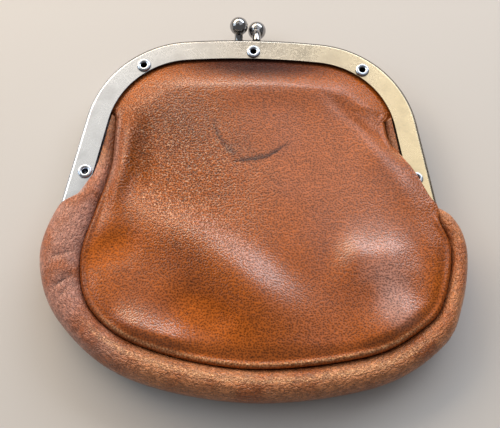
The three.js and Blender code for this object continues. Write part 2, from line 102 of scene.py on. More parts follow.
# Forms along the seam: where a section ends and how full it is, the hem that is turned in and the height of a
# section with a full hem, the laps between which the edge curls, the curl, and the bead along the panel's edge
SEAM_ANGLE = math.radians(145)
FULLNESS = 0.8
HEM = 2.4 * MM
LEAST_HEM = 0.4 * MM
FULL_HEIGHT = 15 * MM
LAP_START = 0.1 * MM
LAP_FULL = 1 * MM
CURL_RADIUS = 1.25 * MM
CURL_TURN = math.radians(110)
BEAD_HEIGHT = 0.8 * MM
BEAD_INSET = 0.9 * MM
BEAD_WIDTH = 0.75 * MM

# Upper edge of a panel in the slot of a bow
SLOT_ENDS = (math.radians(70), math.radians(-71.5))
SLOT_HEM = 4.6 * MM
SLOT_RUN = 11 * MM
SEAM_ROUNDING = 1.7
SLOT_ROUNDING = 1.22
RIM_BLUR = 0.1 * MM
PANEL_MIDDLE = np.array((-1, -8)) * MM

# Folds of the front panel in millimetres: height, width on the left and right of the line that it follows
FOLDS = {
    "ridge under the crown": (0.6, 4, 5, ((-20, 28), (-4, 31), (12, 31.5), (23, 30), (30, 26))),
    "upper right valley": (-1.2, 2.8, 3, ((18, 32), (26, 27), (33, 21), (40, 14))),
    "bulge over the right arm": (1.3, 4.5, 7, ((32, 21), (39, 11), (45.5, 1), (51, -6))),
    "left fold": (2.8, 3, 2.4, ((-40.5, -9), (-39, 3), (-38.2, 14), (-38.8, 26))),
    "valley beside the left fold": (-1.3, 3.5, 7, ((-37, -8), (-34, 1), (-32.5, 12), (-33, 26))),
    "slanting ridge": (3.3, 7.5, 8.5, ((-38, -10), (-20, -14), (-6, -24), (7, -35), (19, -42))),
    "hollow by the left seam": (-1.4, 5, 5, ((-48, -22), (-40, -18), (-30, -15))),
    "lower left bump": (1.8, 4.4, 3, ((-40, -37.5), (-27, -43), (-13, -46.5))),
    "lower hollow": (-1.2, 5, 6, ((-24, -29), (-13, -35), (-4, -42))),
    "upper right bump": (2.0, 5, 9, ((20, -18), (33, -20.5), (46, -18))),
    "lower right bump": (1.5, 6, 4, ((26, -42), (38, -38.5), (47, -30))),
}
FOLD_TAPER = 0.35
DENT_SIZE = 13 * MM
DENT_HEIGHT = 0.25 * MM

# Short creases across the left of the gusset in millimetres: depth, width and the two ends. They start and are
# full at two heights in metres.
CREASES = {
    "first": (0.6, 0.9, (-57, -22), (-49.5, -19)),
    "second": (0.7, 0.9, (-56, -31), (-48.5, -25.4)),
    "third": (0.5, 0.8, (-53.5, -34), (-49, -27.5)),
}
CREASE_HEIGHTS = (6 * MM, 10 * MM)

# The painted glint along the gusset's crest, in metres: its place across the band, and where it starts and is
# full
CREST_GLINT_PLACE = HEM + 4.2 * MM
CREST_GLINT_FADE = (1.3 * MM, 0.3 * MM)

# How finely the leather is divided
SEAM_STEPS = 290
SLOT_STEPS = 110
RINGS = 76
RING_CROWDING = 1.3
HEM_STEPS = 5
SECTION_STEPS = 44
CURVE_STEPS = 2000
LINE_STEPS = 40

# How finely the metal is divided, what counts as one point or as a sharp edge, the bevel of worn edges, how far
# a cut runs past a piece, and the share of the sheet that a hinge ear goes into
CROWN_STEPS = 8
SHOULDER_STEPS = 26
BEND_STEPS = 5
ROUND_STEPS = 32
POST_STEPS = 8
BALL_SEGMENTS = 48
BALL_RINGS = 24
MERGE = 0.001 * MM
SHARP = math.radians(35)
EDGE_WEAR = 0.12 * MM
CUT_PAST = 1 * MM
EAR_SINK = 0.9

# Places on the frame, in metres
BOW_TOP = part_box("front_bow")[1].z
BOW_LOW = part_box("back_bow")[0].z
MIDDLE = (BOW_TOP + BOW_LOW) / 2
CROWN_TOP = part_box("front_bow")[1].y
FRAME_X = (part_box("front_bow")[0].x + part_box("front_bow")[1].x) / 2
EYELETS = 5

# Section of an eyelet in millimetres from its axis and its seat, once round
EYELET_SECTION = (
    (2.1, 0.1), (2.1, 0.28), (2.02, 0.46), (1.84, 0.63), (1.58, 0.73), (1.3, 0.72),
    (1.04, 0.58), (0.86, 0.34), (0.76, 0), (0.75, -3.5), (1.2, -3.5), (1.2, 0.1), (2.1, 0.1),
)

# Darker places of the front panel as ovals: strength, middle, half length and half width in millimetres, turn.
# The valleys are painted shade and the places by the drop's ring belong to its stain; along the crown, by
# the middle eyelet and in the upper left the leather is just made darker
DARKER_PLACES = {
    "along the crown": (0.85, 0, 41.5, 46, 9.5, 0),
    "by the middle eyelet": (0.85, -1, 40, 25, 7.5, 0),
    # painted shade in the valley beside the left fold
    "left valley": (0.4, -33.5, 13, 17, 5, 100),
    "inside the drop's ring": (0.25, -4, 12, 8, 6, -30),
    "corner of the drop's ring": (0.5, -7, 11.4, 3.4, 2, -50),
    "upper left": (0.36, -22, 20, 22, 20, 0),
    # painted shade in the upper right valley
    "upper right valley": (0.25, 29, 23, 15, 4, -40),
}

# Places of the front panel with more or less glaze, as ovals like the darker places
GLAZE = {
    "upper left": (0.1, -24, 16, 19, 24, 0),
    "slanting ridge": (0.7, -7, -19, 44, 8, -29),
    "lower left bump": (0.7, -27, -39.5, 15, 6.5, -33),
    "upper right bump": (0.4, 32, -15, 12, 8, 15),
    "lower right bump": (0.5, 38.5, -33.5, 12, 9, 30),
    "right side": (0.4, 34, -14, 24, 34, 0),
    "ridge under the crown": (0.6, -3, 33, 44, 3.5, 1),
    "left valley": (-0.8, -34, 12, 18, 6, 100),
    "left fold": (0.6, -38, 12, 12, 2.6, 94),
    "left hollow": (-0.6, -40, -19, 15, 8, 20),
    "lower hollow": (-0.6, -11, -37, 22, 8, -25),
    "upper right valley": (-0.5, 29, 23, 14, 3, -40),
    "right edge": (-0.4, 50, -25, 20, 5, 95),
    "under the crown": (-0.5, 0, 42, 45, 9, 0),
}
LEAST_GLAZE = 0.4
DULL_SHINE = 0.1
GLAZED_SHINE = 1.0
GUSSET_SHINE = 0.45

# Painted sheen on the front panel: pale patches where its glossy leather would reflect cool light, as ovals
# like the darker places
PAINTED_SHEEN = {
    "upper right bump": (0.3, 33, -14, 15, 10, 10),
    "right dent": (0.4, 37, -23, 12, 6, 15),
    "lower right bump": (0.75, 38.5, -31, 11, 7.5, 110),
    "left fold": (0.6, -41.2, 12, 17, 2.4, 93),
    "middle": (0.14, 14, 6, 46, 34, 0),
}

# The places where the front panel is matt and where its grain is coarse, as ovals in millimetres
MATT = (12, 8, 46, 36, 0)
PEBBLED = (-22, 6, 30, 44, 30)

# Arcs of a dried drop's ring on the front panel: strength, middle, radius and width in millimetres, and the
# direction from the middle to the arc in degrees. The outer edge fades over a width in millimetres, the ends
# between two shares of the radius.
STAIN = {
    "left side": (0.6, 2, 22.4, 14.9, 1.8, 208),
    "lower side": (0.9, -4.2, 26.5, 18.4, 2.1, 288),
}
STAIN_EDGE = 0.5
STAIN_REACH = (0.86, 0.96)

# Looks of the metal. Edge shade, painted on the bows' outer sides and round the eyelets' bases: the heights
# from the bows' faces in millimetres where it starts and is full
FRAME_EDGE_SHADE = (0, -0.06)
EYELET_EDGE_SHADE = (0.62, 0.3)
EYELET_ROUGHNESS = 0.22
EYELET_WEAR = 0.5
BALL_ROUGHNESS = 0.12
BALL_WEAR = 0.3
PAINTED_EDGE_SHADE = (0.07, 0.07, 0.075)
SCRATCH_TURNS = (18, 74, 131)
SCRATCH_SCALE = (14, 0.35, 1)

CAMERA_PLACE = Vector((0.07, -65.36, 202.11)) * MM
CAMERA_TARGET = Vector((-1.44, -3.59, 0)) * MM
CLIP_START = 0.01

# The floor and the light from all round
FLOOR_SIZE = 4
FLOOR_ROUGHNESS = 0.7
ROOM_COLOR = (1, 0.98, 0.96)

# Lights: the property that holds their power, a share of it, place and size in metres, and colour
LIGHTS = {
    "window_left": ("window", 1.25, (-0.44, 0.62, 0.46), (0.85, 0.42), (1, 0.83, 0.62)),
    "window_right": ("window", 0.8, (0.34, 0.65, 0.46), (0.85, 0.42), (0.9, 0.95, 1)),
    "side_left": ("side", 1, (-0.72, 0.12, 0.5), (0.5, 0.5), (0.8, 0.92, 1)),
    "sky_left": ("sky", 0.95, (-0.24, 0.32, 0.75), (0.5, 0.4), (1, 0.9, 0.74)),
    "sky_right": ("sky", 1.5, (0.29, 0.2, 0.75), (0.6, 0.6), (0.9, 0.93, 1)),
}


def length(name, description, millimetres):
    """A size that a user can change"""
    return FloatProperty(name=name, description=description, default=millimetres * MM, unit="LENGTH")


def paint(name, description, color):
    """A colour that a user can change"""
    return FloatVectorProperty(name=name, description=description, default=color, subtype="COLOR")


class PurseLeather(bpy.types.PropertyGroup):
    """Sizes and colours of the leather"""

    thickness: length("Thickness", "Thickness of the leather", 1.2)
    belly: length("Belly", "Height of the front panel's middle", 14.2)
    slope: FloatProperty(
        name="Slope",
        description="Rise of the front panel towards the clasp",
        default=-0.005,
    )
    amber: paint("Amber", "Main colour of the leather", (0.4, 0.098, 0.014))
    chestnut: paint("Chestnut", "Colour of the browner places", (0.34, 0.088, 0.022))
    # Worn and sheen: the gusset's pale left side is partly worn leather and partly a painted cool sheen
    worn_and_sheen: paint("Worn", "Colour of the gusset's rubbed left side", (0.45, 0.2, 0.145))
    # Painted highlight: the colour of the pale sheen patches painted on the front panel
    painted_highlight: paint("Rubbed", "Colour of pale, rubbed places on the front panel", (0.52, 0.27, 0.22))
    tan: paint("Tan", "Colour of the gusset away from its left side", (0.56, 0.21, 0.07))
    # Painted glint: the colour of the painted highlight along the bottom edge and of the glints in the coarse
    # grain and on the gusset's crest
    painted_glint: paint("Bare", "Colour of edges rubbed bare and of the flecks in the coarse grain", (0.85, 0.5, 0.26))
    # Grime and shade: the colour of stains and dirt, also used for painted shade in valleys, by the left seam
    # and in the gusset's creases and lower part
    grime_and_shade: paint("Grime", "Colour of stains and dirt", (0.055, 0.02, 0.016))
    roughness: FloatProperty(
        name="Roughness",
        description="Roughness of the glaze",
        default=0.24,
        subtype="FACTOR",
    )
    grain: length("Grain", "Width of a pebble of the grain", 0.6)
    grain_depth: length("Grain depth", "Depth of the grain", 0.06)


class PurseMetal(bpy.types.PropertyGroup):
    """Sizes and colours of the clasp frame"""

    crown: length("Crown", "Radius of the frame's top", 230)
    crown_half: length("Crown half", "Half the width of the frame's top", 20.9)
    shoulder: length("Shoulder", "Radius of the frame's shoulders", 32)
    lean: FloatProperty(
        name="Lean",
        description="Lean of the arms",
        default=math.radians(10.5),
        unit="ROTATION",
    )
    arm: length("Arm", "Length of an arm", 35)
    face: length("Face", "Width of a bow's face", 6.8)
    liner: length("Liner", "Width of a bow's hidden side", 6)
    depth: length("Depth", "Height of a bow", 3.6)
    sheet: length("Sheet", "Thickness of the metal", 0.8)
    bend: length("Bend", "Radius of the bends", 1.2)
    ear: length("Ear", "Length of a hinge ear", 7)
    ear_reach: length("Ear reach", "How far a hinge ear reaches past the middle plane", 2.2)
    ear_inset: length("Ear inset", "Inset of the front bow's hinge ears", 2)
    pin: length("Pin", "Radius of a hinge pin", 1)
    barrel: length("Barrel", "Radius of an eyelet's barrel", 1.2)
    ball: length("Ball", "Radius of a clasp ball", 2.85)
    ball_rise: length("Ball rise", "Distance of the balls from the frame's top", 6)
    ball_lean: length("Ball lean", "How far a ball leans past the middle plane", 1.2)
    post: length("Post", "Radius of a ball's post", 1.3)
    peg: length("Peg", "Radius of a ball's peg, which goes into the frame", 0.7)
    peg_length: length("Peg length", "Length of a ball's peg", 2)
    # The frame's nickel is tinted blue as a painted cool reflection; the next colour is a painted warm
    # reflection on the right
    nickel_and_cool_reflection: paint("Nickel", "Colour of the frame", (0.6, 0.65, 0.74))
    warm_reflection: paint("Brass", "Colour of the frame where its plate is thin, on the right", (0.95, 0.75, 0.44))
    polish: paint("Polish", "Colour of the clasp balls", (0.34, 0.34, 0.35))
    roughness: FloatProperty(
        name="Roughness",
        description="Roughness of the frame",
        default=0.27,
        subtype="FACTOR",
    )


class PurseStage(bpy.types.PropertyGroup):
    """Floor, lights and camera"""

    floor: paint("Floor", "Colour of the floor", (0.6, 0.57, 0.55))
    window: FloatProperty(
        name="Window",
        description="Power of each light from the far side",
        default=6.2,
        unit="POWER",
    )
    sky: FloatProperty(
        name="Sky",
        description="Power of each light from above",
        default=0.55,
        unit="POWER",
    )
    side: FloatProperty(
        name="Side",
        description="Power of the light from the left",
        default=1.6,
        unit="POWER",
    )
    ambient: FloatProperty(
        name="Ambient",
        description="Strength of the light from all round",
        default=0.18,
    )
    focal: FloatProperty(
        name="Focal length",
        description="Focal length of the camera in millimetres",
        default=50.4,
    )


def deselect():
    """Leaves edit mode with nothing selected"""
    if bpy.context.mode != "OBJECT":
        bpy.ops.object.mode_set(mode="OBJECT")
    bpy.ops.object.select_all(action="DESELECT")


def activate(piece):
    """Makes a piece the only one selected"""
    deselect()
    piece.select_set(True)
    bpy.context.view_layer.objects.active = piece


def edit_all(piece):
    """Opens a piece in edit mode with all of it selected"""
    activate(piece)
    bpy.ops.object.mode_set(mode="EDIT")
    bpy.ops.mesh.select_all(action="SELECT")


def apply_modifier(piece, kind, **settings):
    """Adds a modifier to a piece and applies it"""
    activate(piece)
    modifier = piece.modifiers.new(kind.title(), kind)
    for name, value in settings.items():
        setattr(modifier, name, value)
    bpy.ops.object.modifier_apply(modifier=modifier.name)


def cut_away(piece, cutter):
    """Cuts a piece with another, which is used up"""
    while cutter.data.uv_layers:
        cutter.data.uv_layers.remove(cutter.data.uv_layers[0])
    apply_modifier(piece, "BOOLEAN", object=cutter, operation="DIFFERENCE", solver="MANIFOLD")
    bpy.data.objects.remove(cutter)


def fuse(piece, other):
    """Joins a piece with another, which is used up"""
    apply_modifier(piece, "BOOLEAN", object=other, operation="UNION", solver="MANIFOLD")
    bpy.data.objects.remove(other)


def clean(piece):
    """Merges the doubles of a piece and turns its faces outward"""
    edit_all(piece)
    bpy.ops.mesh.remove_doubles(threshold=MERGE)
    bpy.ops.mesh.normals_make_consistent(inside=False)
    bpy.ops.object.mode_set(mode="OBJECT")


def smooth_sharp(piece):
    """Shades a piece smooth but for its sharp edges"""
    activate(piece)
    bpy.ops.object.shade_smooth_by_angle(angle=SHARP)


def settle(piece, name, finish, slot, *nodes):
    """Names a finished piece, gives it its finish and puts it on the frame"""
    deselect()
    piece.name = name
    piece.data.name = name
    piece.data.materials.clear()
    piece.data.materials.append(finish)
    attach(piece, BODY)
    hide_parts(*nodes)
    return piece


def mesh_piece(name, points, faces):
    """A new mesh object of points and faces"""
    mesh = bpy.data.meshes.new(name)
    mesh.from_pydata([tuple(point) for point in points], [], faces)
    mesh.update()
    piece = bpy.data.objects.new(name, mesh)
    bpy.context.scene.collection.objects.link(piece)
    return piece


class Value:
    """A value that changes over a surface: an output of a node, whose arithmetic adds Math nodes"""

    def __init__(self, finish, socket):
        self.finish = finish
        self.socket = socket

    def maths(self, operation, *terms):
        return self.finish.node("ShaderNodeMath", {"operation": operation}, dict(enumerate(terms)))

    def __add__(self, other):
        return self.maths("ADD", self, other)

    def __radd__(self, other):
        return self.maths("ADD", other, self)

    def __sub__(self, other):
        return self.maths("SUBTRACT", self, other)

    def __rsub__(self, other):
        return self.maths("SUBTRACT", other, self)

    def __mul__(self, other):
        return self.maths("MULTIPLY", self, other)

    def __rmul__(self, other):
        return self.maths("MULTIPLY", other, self)

    def __abs__(self):
        return self.maths("ABSOLUTE", self)


class Finish:
    """A material made of nodes"""

    def __init__(self, name):
        self.material = bpy.data.materials.new(name)
        self.material.use_nodes = True
        self.tree = self.material.node_tree
        self.tree.nodes.clear()

    def node(self, kind, settings=None, inputs=None, output=0):
        """Adds a node, sets it, fills or links its sockets and returns one of its outputs"""
        made = self.tree.nodes.new(kind)
        for name, value in (settings or {}).items():
            setattr(made, name, value)
        for name, value in (inputs or {}).items():
            socket = made.inputs[name]
            if isinstance(value, Value):
                self.tree.links.new(value.socket, socket)
            else:
                socket.default_value = value
        return Value(self, made.outputs[output]) if made.outputs else None

    def place(self):
        return self.node("ShaderNodeTexCoord", output="Object")

    def map(self, name):
        return self.node("ShaderNodeUVMap", {"uv_map": name})

    def mapped(self, vector, location=(0, 0, 0), turn=0, scale=(1, 1, 1)):
        """Coordinates measured from a location, along turned axes, in steps of scale"""
        inputs = {"Vector": vector, "Location": location, "Rotation": (0, 0, turn), "Scale": scale}
        return self.node("ShaderNodeMapping", {"vector_type": "TEXTURE"}, inputs)

    def along(self, vector, axis):
        return self.node("ShaderNodeSeparateXYZ", {}, {0: vector}, axis)

    def noise(self, vector, size, detail=2.0, output="Fac"):
        inputs = {"Vector": vector, "Scale": 1 / size, "Detail": detail}
        return self.node("ShaderNodeTexNoise", {}, inputs, output)

    def dots(self, vector, size):
        """Distance from the nearest of many dots scattered over X and Y"""
        settings = {"voronoi_dimensions": "2D"}
        return self.node("ShaderNodeTexVoronoi", settings, {"Vector": vector, "Scale": 1 / size}, "Distance")

    def fade(self, value, start, end):
        """0 where a value is at start, 1 where it is at end, smooth between"""
        inputs = {"Value": value, "From Min": start, "From Max": end}
        return self.node("ShaderNodeMapRange", {"interpolation_type": "SMOOTHSTEP"}, inputs)

    def vectors(self, operation, inputs, output=0):
        return self.node("ShaderNodeVectorMath", {"operation": operation}, inputs, output)

    def stirred(self, vector, size, amount):
        """Coordinates moved about by a noise"""
        centred = self.vectors("SUBTRACT", {0: self.noise(vector, size, output="Color"), 1: (0.5, 0.5, 0.5)})
        scaled = self.vectors("SCALE", {0: centred, "Scale": amount})
        return self.vectors("ADD", {0: vector, 1: scaled})

    def blob(self, vector, x, y, long, wide, turn):
        """A soft oval mask, with its middle and half sizes in millimetres"""
        scale = (long * MM, wide * MM, 1)
        local = self.mapped(vector, (x * MM, y * MM, 0), math.radians(turn), scale)
        return self.fade(self.vectors("LENGTH", {0: local}, "Value"), 1, 0.1)

    def ring(self, vector, x, y, radius, width, turn):
        """An arc on one side of a circle, sharp outside and soft inside, with its sizes in millimetres"""
        local = self.mapped(vector, (x * MM, y * MM, 0), math.radians(turn), (MM, MM, 1))
        away = self.vectors("LENGTH", {0: local}, "Value") - radius
        line = self.fade(away, -width, 0) * self.fade(away, STAIN_EDGE, 0)
        return line * self.fade(self.along(local, "X"), *(share * radius for share in STAIN_REACH))

    def mix(self, factor, first, second):
        settings = {"data_type": "RGBA"}
        return self.node("ShaderNodeMix", settings, {0: factor, 6: first, 7: second}, 2)

    def shaded(self, color, level):
        """A colour made darker or lighter by a value"""
        grey = self.node("ShaderNodeCombineColor", {}, {0: level, 1: level, 2: level})
        settings = {"data_type": "RGBA", "blend_type": "MULTIPLY"}
        return self.node("ShaderNodeMix", settings, {0: 1.0, 6: color, 7: grey}, 2)

    def bump(self, height, distance, normal=None):
        inputs = {"Height": height, "Distance": distance, "Strength": 1.0}
        if normal:
            inputs["Normal"] = normal
        return self.node("ShaderNodeBump", {}, inputs)

    def surface(self, sockets):
        return self.node("ShaderNodeBsdfPrincipled", {}, sockets)

    def done(self, surface):
        """Ends the material with a surface"""
        self.node("ShaderNodeOutputMaterial", {}, {"Surface": surface})
        return self.material


def opaque(color):
    return (*color, 1)


def panel_finish(name, leather, front):
    """Grained leather, glazed in places, with painted shade by the left seam, a painted bottom edge highlight,
    and on the front panel its darker places, dried drop, painted sheen and painted glints
    """
    finish = Finish(name)
    place = finish.place()
    loose = finish.stirred(place, 8 * MM, 3 * MM)
    clouds = finish.noise(place, 22 * MM, 3)
    mottle = finish.noise(place, 2.2 * MM, 3)
    shade = finish.mix(finish.fade(clouds, 0.45, 0.7), opaque(leather.amber), opaque(leather.chestnut))
    glaze, matt = LEAST_GLAZE, 0
    if front:
        # Darker places: painted shade in the valleys, the stain round the drop's ring, and darker leather along
        # the crown and in the upper left
        for strength, *oval in DARKER_PLACES.values():
            shade = finish.mix(finish.blob(loose, *oval) * strength, shade, opaque(leather.grime_and_shade))
        # Painted sheen: pale patches where the glossy leather would reflect the cool light
        for strength, *oval in PAINTED_SHEEN.values():
            shade = finish.mix(finish.blob(loose, *oval) * strength, shade, opaque(leather.painted_highlight))
        ragged = finish.stirred(finish.stirred(place, 5 * MM, 1.4 * MM), 0.9 * MM, 0.9 * MM)
        for strength, *arc in STAIN.values():
            shade = finish.mix(finish.ring(ragged, *arc) * strength, shade, opaque(leather.grime_and_shade))
        for strength, *oval in GLAZE.values():
            glaze = glaze + finish.blob(loose, *oval) * strength
        matt = finish.blob(loose, *MATT)
    rim = finish.along(finish.map("from the rim"), "X")
    # Painted shade along the rim on the left, in the seam's groove
    edge = finish.fade(rim, 2.4 * MM, 0.3 * MM)
    left = finish.fade(finish.along(place, "X"), -12 * MM, -34 * MM)
    shade = finish.mix(edge * left * 0.45, shade, opaque(leather.grime_and_shade))
    # Painted highlight: a pale speckled line along the bottom edge
    painted_highlight = finish.fade(rim, 0.2 * MM, 0.7 * MM) * finish.fade(rim, 1.9 * MM, 1 * MM)
    painted_highlight = painted_highlight * finish.fade(finish.along(place, "Y"), -33 * MM, -43 * MM)
    specks = finish.fade(finish.noise(place, 0.5 * MM, 2), 0.5, 0.66)
    shade = finish.mix(painted_highlight * (0.2 + specks * 0.6), shade, opaque(leather.painted_glint))
    pore = finish.fade(finish.dots(finish.stirred(place, 1.6 * MM, 0.4 * MM), leather.grain), 0.62, 0.05)
    ripple = finish.noise(finish.mapped(finish.stirred(place, 3 * MM, 1 * MM), scale=(2.6, 1, 1)), 0.5 * MM)
    pebbled = finish.blob(loose, *PEBBLED) if front else 0
    grain = finish.bump((ripple - pore * 0.8) * (1 + pebbled * 1.6), leather.grain_depth)
    sparkle = specks * pebbled
    # The sparkle's pale flecks in the base colour are painted glints in the coarse grain
    shade = finish.mix(sparkle * 0.3, shade, opaque(leather.painted_glint))
    glaze = glaze * (1 - pebbled * 0.5) + sparkle * 0.6
    level = 1.12 - pebbled * 0.14 - pore * 0.62 + (0.5 - mottle) * 0.4 + (ripple - 0.5) * 0.9
    looks = {
        "Base Color": finish.shaded(shade, level),
        "Roughness": leather.roughness + matt * 0.2 - sparkle * 0.1 + (mottle - 0.5) * 0.2,
        "Normal": finish.bump(mottle, 0.07 * MM, grain),
    }
    dull = finish.surface({**looks, "Specular IOR Level": DULL_SHINE})
    glazed = finish.surface({**looks, "Specular IOR Level": GLAZED_SHINE})
    return finish.done(finish.node("ShaderNodeMixShader", {}, {0: glaze, 1: dull, 2: glazed}))


def gusset_finish(name, leather):
    """Rubbed leather with fine wrinkles along the band, its pale left side partly a painted sheen, with painted
    shade below, by the seam and in its creases, and a painted glint along its crest at the bottom
    """
    finish = Finish(name)
    place = finish.place()
    band = finish.map("band")
    clouds = finish.noise(place, 9 * MM, 3)
    mottle = finish.noise(place, 1.6 * MM, 3)
    # Partly a painted sheen: the gusset's left side, where the cool light from the left falls, takes the pale
    # worn colour
    left = finish.fade(finish.along(place, "X"), -24 * MM, -48 * MM)
    left = left * finish.fade(finish.along(place, "Y"), 14 * MM, 2 * MM)
    shade = finish.mix(0.2 + left * 0.8, opaque(leather.tan), opaque(leather.worn_and_sheen))
    shade = finish.mix(finish.fade(clouds, 0.42, 0.68) * 0.8, shade, opaque(leather.chestnut))
    # Painted shade: darker low down, most along the bottom, and by the seam, less along the bottom
    low = finish.fade(finish.along(place, "Z"), 10 * MM, 3 * MM)
    seam = finish.fade(finish.along(band, "Y"), HEM + 3 * MM, HEM)
    bottom = finish.fade(finish.along(place, "Y"), -36 * MM, -46 * MM)
    dirt_and_shade = low * (0.3 + bottom * 0.4) + seam * (0.4 - bottom * 0.25)
    shade = finish.mix(dirt_and_shade, shade, opaque(leather.grime_and_shade))
    loose = finish.stirred(place, 3 * MM, 0.8 * MM)
    # Painted shade in the short creases
    for depth, wide, start, end in CREASES.values():
        (x, y), reach = (Vector(start) + Vector(end)) / 2, Vector(end) - Vector(start)
        turn = math.degrees(math.atan2(reach.y, reach.x))
        crease_shade = finish.blob(loose, x, y, reach.length / 2, wide * 0.75, turn)
        shade = finish.mix(crease_shade * depth, shade, opaque(leather.grime_and_shade))
    waves = finish.mapped(finish.stirred(band, 2.5 * MM, 1.6 * MM), scale=(2.2, 1, 1))
    wrinkle = finish.fade(abs(finish.noise(waves, 1.1 * MM, 2) - 0.5), 0, 0.14)
    pore = finish.fade(finish.dots(finish.stirred(band, 1.6 * MM, 0.4 * MM), leather.grain), 0.36, 0.12)
    specks = finish.fade(finish.noise(band, 0.5 * MM, 2), 0.5, 0.72)
    # Painted glint: a pale speckled line along the crest at the bottom
    height = finish.along(finish.stirred(band, 3 * MM, 1 * MM), "Y")
    crest = finish.fade(abs(height - CREST_GLINT_PLACE), *CREST_GLINT_FADE) * bottom
    shade = finish.mix(crest * (0.15 + specks * 0.75), shade, opaque(leather.painted_glint))
    # The bottom is also made darker here as painted shade
    level = 0.76 - bottom * 0.13 - pore * 0.3 + wrinkle * 0.42 + specks * 0.45 + (0.5 - mottle) * 0.6
    grain = finish.bump(wrinkle - pore * 0.6 + specks * 0.6, leather.grain_depth * 1.8)
    return finish.done(finish.surface({
        "Base Color": finish.shaded(shade, level),
        "Roughness": leather.roughness + 0.09 + (mottle - 0.5) * 0.3,
        "Normal": finish.bump(mottle, 0.15 * MM, grain),
        "Specular IOR Level": GUSSET_SHINE,
    }))


def nickel_finish(name, color, right_reflection, roughness, wear, edge_shade=None):
    """Nickel plate with a painted reflection, cool on the left and warm on the right, with clouds, specks, fine
    scratches and painted shade on its sides

    edge_shade: heights from the bows' faces in millimetres where the painted shade on the sides starts and is
    full
    """
    finish = Finish(name)
    place = finish.place()
    clouds = finish.noise(place, 9 * MM, 3)
    specks = finish.noise(place, 0.7 * MM, 3)
    marks = 0
    for turn in SCRATCH_TURNS:
        stretched = finish.mapped(place, turn=math.radians(turn), scale=SCRATCH_SCALE)
        marks = marks + finish.fade(finish.noise(stretched, 1 * MM), 0.62, 0.75)
    dull = finish.fade(specks, 0.45, 0.72)
    # Painted reflection: the plate goes from the cool colour on the left to the warm one on the right
    right = finish.fade(finish.along(place, "X"), -55 * MM, 60 * MM)
    shade = finish.mix(right, opaque(color), opaque(right_reflection))
    dirt_and_shade = (dull * 0.2 + finish.fade(clouds, 0.45, 0.7) * 0.45) * wear
    shade = finish.shaded(shade, 1 - dirt_and_shade * 0.45)
    # Painted shade on the bows' outer sides, away from the left arm, and round the eyelets' bases
    if edge_shade:
        heights = [BOW_TOP - MIDDLE + height * MM for height in edge_shade]
        side = finish.fade(abs(finish.along(place, "Z") - MIDDLE), *heights)
        side = side * finish.fade(finish.along(place, "X"), -50 * MM, -36 * MM)
        shade = finish.mix(side * 0.85, shade, opaque(PAINTED_EDGE_SHADE))
    return finish.done(finish.surface({
        "Base Color": shade,
        "Metallic": 1.0,
        "Roughness": roughness + ((clouds - 0.5) * 0.2 + marks * 0.05 + dull * 0.08) * wear,
        "Normal": finish.bump((specks * 0.05 - marks * 0.12) * wear, 0.02 * MM),
    }))


def smooth_curve(points, count):
    """Points at even steps on a smooth curve through the given ones, measured in their first two columns"""
    points = np.asarray(points, float)
    last = len(points) - 1
    place = np.linspace(0, last, CURVE_STEPS)
    start = np.minimum(place.astype(int), last - 1)
    share = (place - start)[:, None]
    before, here, ahead, beyond = (points[np.clip(start + step, 0, last)] for step in (-1, 0, 1, 2))
    bend = 2 * before - 5 * here + 4 * ahead - beyond + (3 * here - before - 3 * ahead + beyond) * share
    fine = here + 0.5 * share * (ahead - before + share * bend)
    way = np.concatenate([[0], np.cumsum(np.hypot(*np.diff(fine[:, :2], axis=0).T))])
    even = np.linspace(0, way[-1], count)
    return np.stack([np.interp(even, way, column) for column in fine.T], axis=1)


def step_up(value, start, end):
    """0 below start, 1 above end, smooth between"""
    share = np.clip((value - start) / (end - start), 0, 1)
    return share * share * (3 - 2 * share)


def gusset_rows():
    """The gusset's table at even steps along its outer wall, as a dict of columns in metres"""
    rows = smooth_curve(np.array(list(GUSSET_ROWS.values())) * MM, SEAM_STEPS)
    columns = dict(zip(GUSSET_COLUMNS, rows.T))
    columns["floor"] = np.maximum(columns["floor"], 0)
    columns["seam"] = np.stack([columns["seam_x"], columns["seam_y"]], axis=1)
    out = np.stack([columns["out_x"], columns["out_y"]], axis=1) - columns["seam"]
    columns["width"] = np.linalg.norm(out, axis=1)
    columns["out"] = out / columns["width"][:, None]
    hem = HEM * (columns["crest"] - columns["floor"]) / FULL_HEIGHT - np.maximum(columns["lap"], 0)
    columns["hem"] = np.maximum(hem, LEAST_HEM)
    return columns


def gusset_height(rows, angle):
    """Height of the gusset's sections at an angle round them, 0 at the outer wall"""
    wave = np.sin(angle)
    swell = np.sign(wave) * np.abs(wave) ** FULLNESS
    return (rows["crest"] + rows["floor"]) / 2 + (rows["crest"] - rows["floor"]) / 2 * swell


def bow_edge(metal, turn, drop=0.0):
    """A place on the outer edge of the bows, and the direction out of it: turn is that direction, from +Y"""
    crown_turn = math.asin(metal.crown_half / metal.crown)
    out = Vector((math.sin(turn), math.cos(turn)))
    middle = Vector((FRAME_X, CROWN_TOP - metal.crown))
    if abs(turn) <= crown_turn:
        return middle + out * metal.crown, out
    side = math.copysign(1, turn)
    joint = Vector((side * math.sin(crown_turn), math.cos(crown_turn)))
    down = Vector((side * math.sin(metal.lean), -math.cos(metal.lean)))
    return middle + joint * (metal.crown - metal.shoulder) + out * metal.shoulder + down * drop, out


